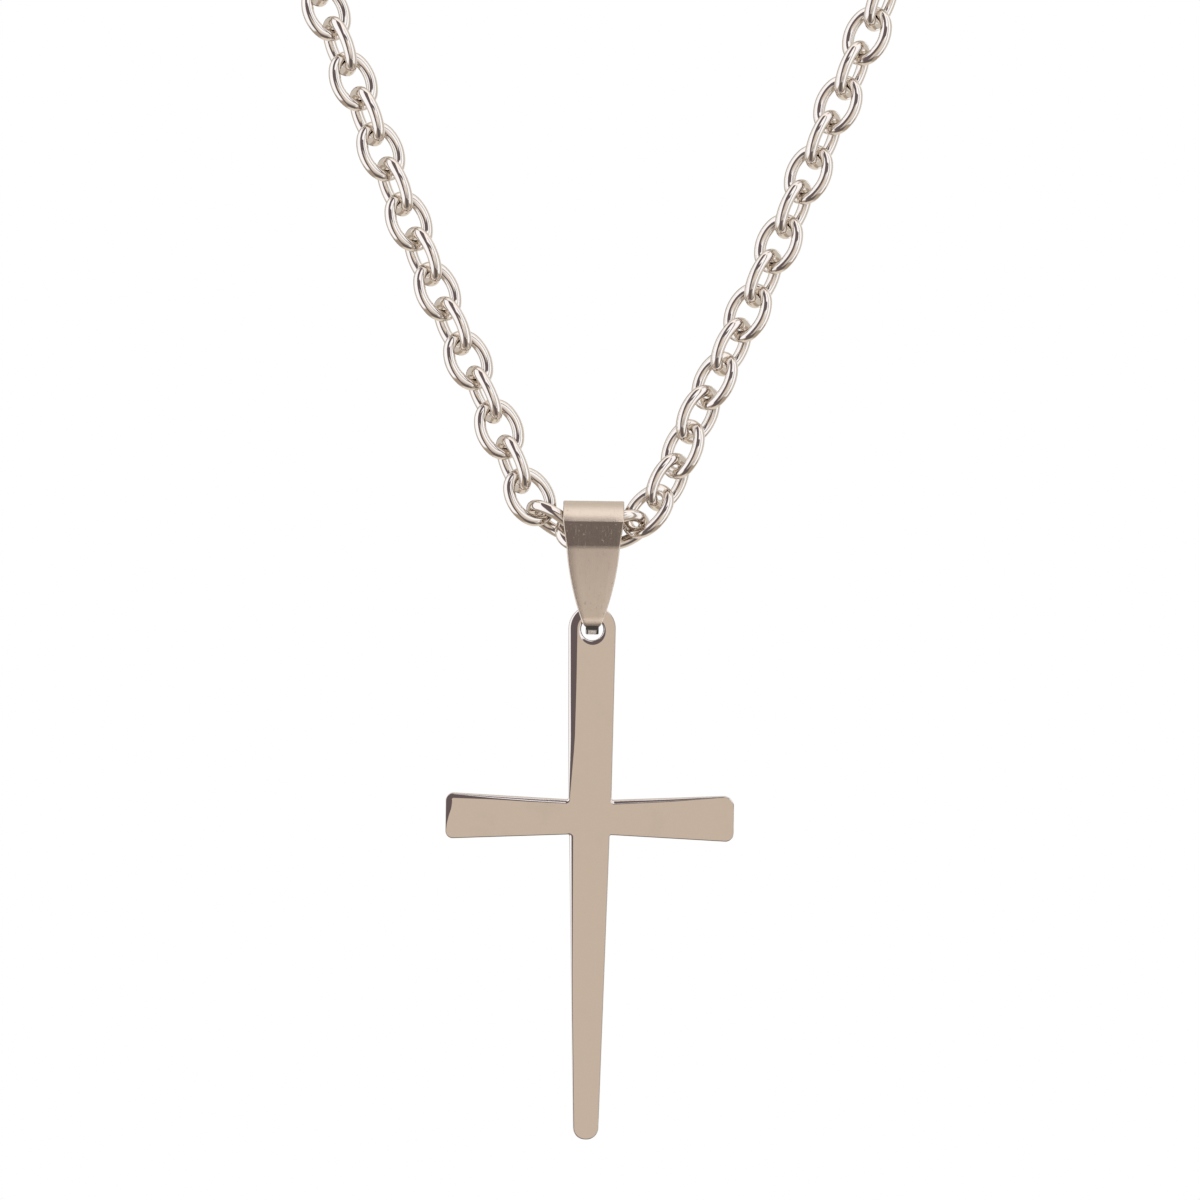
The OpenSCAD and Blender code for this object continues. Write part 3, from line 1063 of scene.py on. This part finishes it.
def link_frames(node: Piece) -> Array:
    """Finds the middle and the axes of each loose solid of a frame node.

    Points that share a place are one. Each point takes the lowest number among its
    neighbours until none changes, so every solid ends with a number of its own. Its
    middle is that of its box along its own axes, which are the directions of the
    most, the middle and the least spread of its points.

    Args:
        node: The frame's node.

    Returns:
        For each solid: its middle in mm, then its long, wide and thin axes.
    """
    places, same = np.unique(np.round(points_of(node), 3), axis=0, return_inverse=True)
    ends = same.ravel()[read(node.data.edges, "vertices", 2, int)]
    label = np.arange(len(places))
    while True:
        low = label.copy()
        np.minimum.at(low, ends[:, 0], label[ends[:, 1]])
        np.minimum.at(low, ends[:, 1], label[ends[:, 0]])
        low = low[low]
        if np.array_equal(low, label):
            break
        label = low
    frames = []
    for number in np.unique(label):
        cloud = places[label == number]
        middle = cloud.mean(0)
        spread = np.linalg.svd(cloud - middle, full_matrices=False)[2]
        along = (cloud - middle) @ spread.T
        middle = middle + (along.max(0) + along.min(0)) / 2 @ spread
        spread[2] = np.cross(spread[0], spread[1])
        frames.append(np.concatenate([middle[None], spread]))
    return np.array(frames)


# The clasp


@dataclass
class Clasp:
    """The plain barrel clasp with an eye at each end, all in mm.

    Fields:
        barrel_d: Diameter of the barrel.
        eye_wire: Wire of the eyes.
        eye_r: Radius of the eyes' middle line.
        end_r: Rounding of the barrel's ends.
        groove: Depth of the groove round its middle, a quarter of its width.
        pole_r: Radius of the cap that closes the middle of each end.
        round_steps: Points on the rounding of an end.
        barrel_steps: Points round the barrel.
        eye_steps: Points round an eye, and round its wire.
    """

    barrel_d: float = 3.6
    eye_wire: float = 0.9
    eye_r: float = 1.3
    end_r: float = 0.5
    groove: float = 0.08
    pole_r: float = 0.02
    round_steps: int = 9
    barrel_steps: int = 64
    eye_steps: tuple[int, int] = (48, 20)

    def barrel(self, half: float) -> Array:
        """Turns the barrel's profile about its axis.

        The profile rises along the end, rounds a quarter circle onto the wall and
        runs to the other end, with a fine groove at the middle.

        Args:
            half: Half of the barrel's length.

        Returns:
            Points along the profile by points round the barrel.
        """
        r, e, g = self.barrel_d / 2, self.end_r, self.groove
        turn = np.linspace(0, math.pi / 2, self.round_steps)
        x = np.concatenate([[-half], -half + e * (1 - np.cos(turn)), [-2 * g, -g]])
        y = np.concatenate([[self.pole_r], r - e * (1 - np.sin(turn)), [r, r - g]])
        x, y = np.append(x, -x[::-1])[:, None], np.append(y, y[::-1])[:, None]
        angle = once_round(self.barrel_steps)
        return np.stack([np.repeat(x, len(angle), axis=1), y * np.cos(angle), y * np.sin(angle)], axis=2)

    def eye(self, at: float) -> Array:
        """Carries a circle of wire round a circle, beside the barrel's end."""
        turn, around = np.meshgrid(*(once_round(count) for count in self.eye_steps), indexing="ij")
        reach = self.eye_r + self.eye_wire / 2 * np.cos(around)
        rise = self.eye_wire / 2 * np.sin(around)
        return np.stack([at + reach * np.cos(turn), reach * np.sin(turn), rise], axis=2)

    def build(self, node: Piece, ends: Array, material: Material) -> Piece:
        """Places the barrel and its eyes where the frame has them.

        Args:
            node: The frame's clasp.
            ends: Frames of the two links that it holds.
            material: Its finish.

        Returns:
            The clasp.
        """
        middle, along = link_frames(node)[0, :2]
        across = ends[0, 3] + ends[1, 3] * np.sign(ends[0, 3] @ ends[1, 3])
        across = unit(across - (across @ along) * along)
        axes = np.stack([along, across, np.cross(along, across)])
        reach = np.abs((points_of(node) - middle) @ along).max()
        at = reach - self.eye_wire / 2 - self.eye_r
        barrel = self.barrel(at - self.eye_r)
        start = barrel[..., 0].size
        ring = np.arange(self.barrel_steps)
        poles = np.concatenate([cap(ring), cap(start - 1 - ring)])
        parts, faces = [barrel], [grid_faces(*barrel.shape[:2])[:, ::-1]]
        for place in (at, -at):
            parts.append(self.eye(place))
            faces.append(grid_faces(*self.eye_steps, start, close_rows=True))
            start += parts[-1][..., 0].size
        local = np.concatenate([part.reshape(-1, 3) for part in parts])
        sheet = SheetMesh(middle + local @ axes, np.concatenate(faces), poles)
        return sheet.build("clasp_barrel", material)


# The studio


@dataclass(frozen=True)
class Panel:
    """A rectangle of the surroundings that the metal reflects.

    Fields:
        azimuth: Its direction, in degrees to the right of the camera's own.
        elevation: Its height, in degrees above level.
        width: Its half-width, as a tangent.
        height: Its half-height, as a tangent.
        edge: Width of its soft edge, as a tangent.
        colour: Its light, linear.
    """

    azimuth: float
    elevation: float
    width: float
    height: float
    edge: float
    colour: tuple[float, float, float]


# Width of the camera's sensor in mm, of the picture in pixels, and the least
# part of a direction that lies ahead, so that nothing is divided by zero
SENSOR = 36.0
PICTURE = 1200
BARELY_AHEAD = 1e-4


@dataclass
class Studio:
    """Camera, floor and the soft white surroundings with their panels.

    Fields:
        lens: Focal length, in mm on a 36 mm sensor.
        scale: Pixels to a millimetre at the cross, in a picture 1200 wide.
        hole_x: Picture column of the hole's middle.
        hole_y: Picture row of the hole's middle.
        roll: Turn of the picture, clockwise, in degrees.
        floor_z: Height of the floor, in mm.
        floor_rings: Radii of the floor's rings of points, in mm.
        floor_steps: Points on each of them.
        floor_colour: The floor's colour, linear.
        clip_end: How far the camera sees, in metres.
    """

    lens: float = 150.0
    scale: float = 10.67
    hole_x: float = 592.2
    hole_y: float = 629.2
    roll: float = 0.75
    floor_z: float = -560.0
    floor_rings: tuple[float, ...] = (1.0, 600.0, 1900.0)
    floor_steps: int = 96
    floor_colour: tuple[float, float, float] = (0.93, 0.925, 0.915)
    clip_end: float = 20.0

    def camera(self, hole: Array) -> None:
        """Sets the camera level in front, so that the hole, in mm, falls on its pixel."""
        data = bpy.data.cameras.new("camera")
        data.lens = self.lens
        data.sensor_width = SENSOR
        data.clip_end = self.clip_end
        right = (self.hole_x - PICTURE / 2) / self.scale
        up = (PICTURE / 2 - self.hole_y) / self.scale
        turn = math.radians(self.roll)
        shift_x = right * math.cos(turn) - up * math.sin(turn)
        shift_z = right * math.sin(turn) + up * math.cos(turn)
        away = self.lens / SENSOR * PICTURE / self.scale
        camera = bpy.data.objects.new("camera", data)
        camera.location = Vector((hole[0] - shift_x, hole[1] - away, hole[2] - shift_z)) * MM
        level = Matrix.Rotation(math.pi / 2, 3, "X")
        camera.rotation_euler = (level @ Matrix.Rotation(turn, 3, "Z")).to_euler()
        bpy.context.scene.collection.objects.link(camera)
        bpy.context.scene.camera = camera

    def panels(self) -> list[Panel]:
        """Lists the panels, later ones over earlier ones.

        The cross's flat face mirrors the pale card round the camera, and its left
        rims the tall dark strip beside that. The bail's facet mirrors the dark
        under the card, its leaf the pale band between the two, and its crown the
        warm light overhead. Bright boxes stand to both sides, and a few strips
        behind draw the lines along the chain's wire.
        """
        card = linear(216, 201, 184)
        leaf = linear(188, 180, 173)
        leaf_tip = linear(240, 232, 226)
        dark = linear(109, 98, 99)
        back = linear(232, 222, 210)
        under = linear(104, 97, 96)
        tan = linear(176, 162, 146)
        grey = linear(170, 160, 150)
        warm = (1.2, 1.14, 1.12)
        white = (1.18, 1.2, 1.26)
        sky = (1.2, 1.19, 1.24)
        return [
            Panel(0, -90, 1.7, 1.7, 0.6, tan),
            Panel(180, -48, 0.35, 0.8, 0.25, back),
            Panel(0, 72, 0.8, 0.35, 1.3, warm),
            Panel(0, 46, 1.0, 0.2, 0.1, sky),
            Panel(-72, 8, 0.6, 1.1, 0.35, white),
            Panel(66, 6, 0.36, 1.1, 0.2, white),
            Panel(48, 0, 0.07, 1.6, 0.04, grey),
            Panel(27, 0, 0.23, 0.8, 0.05, white),
            Panel(150, 0, 0.14, 0.5, 0.04, white),
            Panel(-158, 0, 0.1, 0.6, 0.03, dark),
            Panel(0, -56, 0.3, 0.4, 0.2, under),
            Panel(0, -24, 0.6, 0.24, 0.08, leaf),
            Panel(0, -10, 0.6, 0.05, 0.4, leaf_tip),
            Panel(-4, 24, 0.45, 0.12, 0.04, dark),
            Panel(0, -2, 0.15, 0.17, 0.04, card),
            Panel(-25, 0, 0.235, 0.5, 0.03, dark),
            Panel(-25, 40, 0.3, 0.9, 0.06, dark),
            Panel(-25, -42, 0.14, 0.4, 0.05, dark),
        ]

    def surroundings(self) -> None:
        """Builds the world: white for the camera, panels on a pale ground for the metal.

        A panel covers the directions whose tangents to its right and up, seen from
        its own facing, are less than its half-width and half-height.
        """
        world = bpy.data.worlds.new("studio")
        bpy.context.scene.world = world
        world.use_nodes = True
        bench = Bench(world.node_tree)
        way = bench.add("TexCoord").outputs["Generated"]
        colour: Colour = linear(212, 205, 196)
        for panel in self.panels():
            colour = bench.mix(self.cover(bench, way, panel), colour, panel.colour)
        seen = bench.add("Background", {"Color": (1.0, 1.0, 1.0, 1.0), "Strength": 1.0})
        metal = bench.add("Background", {"Color": colour, "Strength": 1.0})
        path = bench.add("LightPath").outputs["Is Camera Ray"]
        both = bench.add("MixShader", {0: path, 1: metal.outputs[0], 2: seen.outputs[0]})
        bench.add("OutputWorld", {"Surface": both.outputs[0]})

    def cover(self, bench: Bench, way: Socket, panel: Panel) -> Socket:
        """Adds the nodes that say how much, from 0 to 1, a panel covers of a direction."""
        a, e = math.radians(panel.azimuth), math.radians(panel.elevation)
        ahead = (math.sin(a) * math.cos(e), -math.cos(a) * math.cos(e), math.sin(e))
        right = (math.cos(a), math.sin(a), 0.0)
        up = (-math.sin(a) * math.sin(e), math.cos(a) * math.sin(e), math.cos(e))
        parts = [
            bench.add("VectorMath", {0: way, 1: axis}, operation="DOT_PRODUCT").outputs["Value"]
            for axis in (ahead, right, up)
        ]
        front = bench.math("MAXIMUM", parts[0], BARELY_AHEAD)
        share = bench.math("GREATER_THAN", parts[0], 0.0)
        for part, reach in ((parts[1], panel.width), (parts[2], panel.height)):
            slope = bench.math("ABSOLUTE", bench.math("DIVIDE", part, front))
            inside = bench.band(slope, (reach, reach + panel.edge), (1.0, 0.0))
            share = bench.math("MULTIPLY", share, inside)
        return share

    def floor(self) -> None:
        """Lays a plain pale disc as a floor, well below the object."""
        angle = once_round(self.floor_steps)
        reach = np.array(self.floor_rings)[:, None]
        across, deep = reach * np.cos(angle), reach * np.sin(angle)
        points = np.stack([across, deep, np.full_like(deep, self.floor_z)], axis=2)
        material, bench = new_material("pale_floor")
        matt = bench.add("BsdfDiffuse", {"Color": (*self.floor_colour, 1.0)})
        bench.add("OutputMaterial", {"Surface": matt.outputs[0]})
        faces = grid_faces(*deep.shape)
        middle = cap(np.arange(self.floor_steps)[::-1])
        floor = SheetMesh(points.reshape(-1, 3), faces, middle).build("floor", material)
        floor.visible_glossy = False


def dress(piece: Piece, node: str, body: str) -> None:
    """Lets a piece replace a node of the frame and ride on a body."""
    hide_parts(node)
    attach(piece, body)


def main() -> None:
    """Builds the studio and every piece, in order.

    The clasp is set between the link of each half that is nearest the origin,
    seen from above.
    """
    logging.basicConfig(level=logging.INFO, format="%(name)s %(message)s")
    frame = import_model()
    bpy.context.scene.view_settings.view_transform = "Standard"

    cross = Cross()
    studio = Studio()
    studio.camera(cross.centre)
    studio.surroundings()
    studio.floor()

    dress(cross.build(CROSS_FINISH.make()), "cross", "cross")
    dress(Bail().build(BAIL_FINISH.make()), "bail", "bail")
    chain = Chain()
    wire = CHAIN_FINISH.make()
    ends = []
    for side in Side:
        frames = link_frames(frame["nodes"][side.value])
        LOG.info("%s: %d links", side.value, len(frames))
        dress(chain.build(side, frames, wire), side.value, "chain")
        ends.append(frames[np.argmin(np.abs(frames[:, 0, :2]).sum(1))])
    clasp = Clasp().build(frame["nodes"]["clasp"], np.array(ends), CLASP_FINISH.make())
    dress(clasp, "clasp", "chain")


if __name__ == "__main__":
    main()
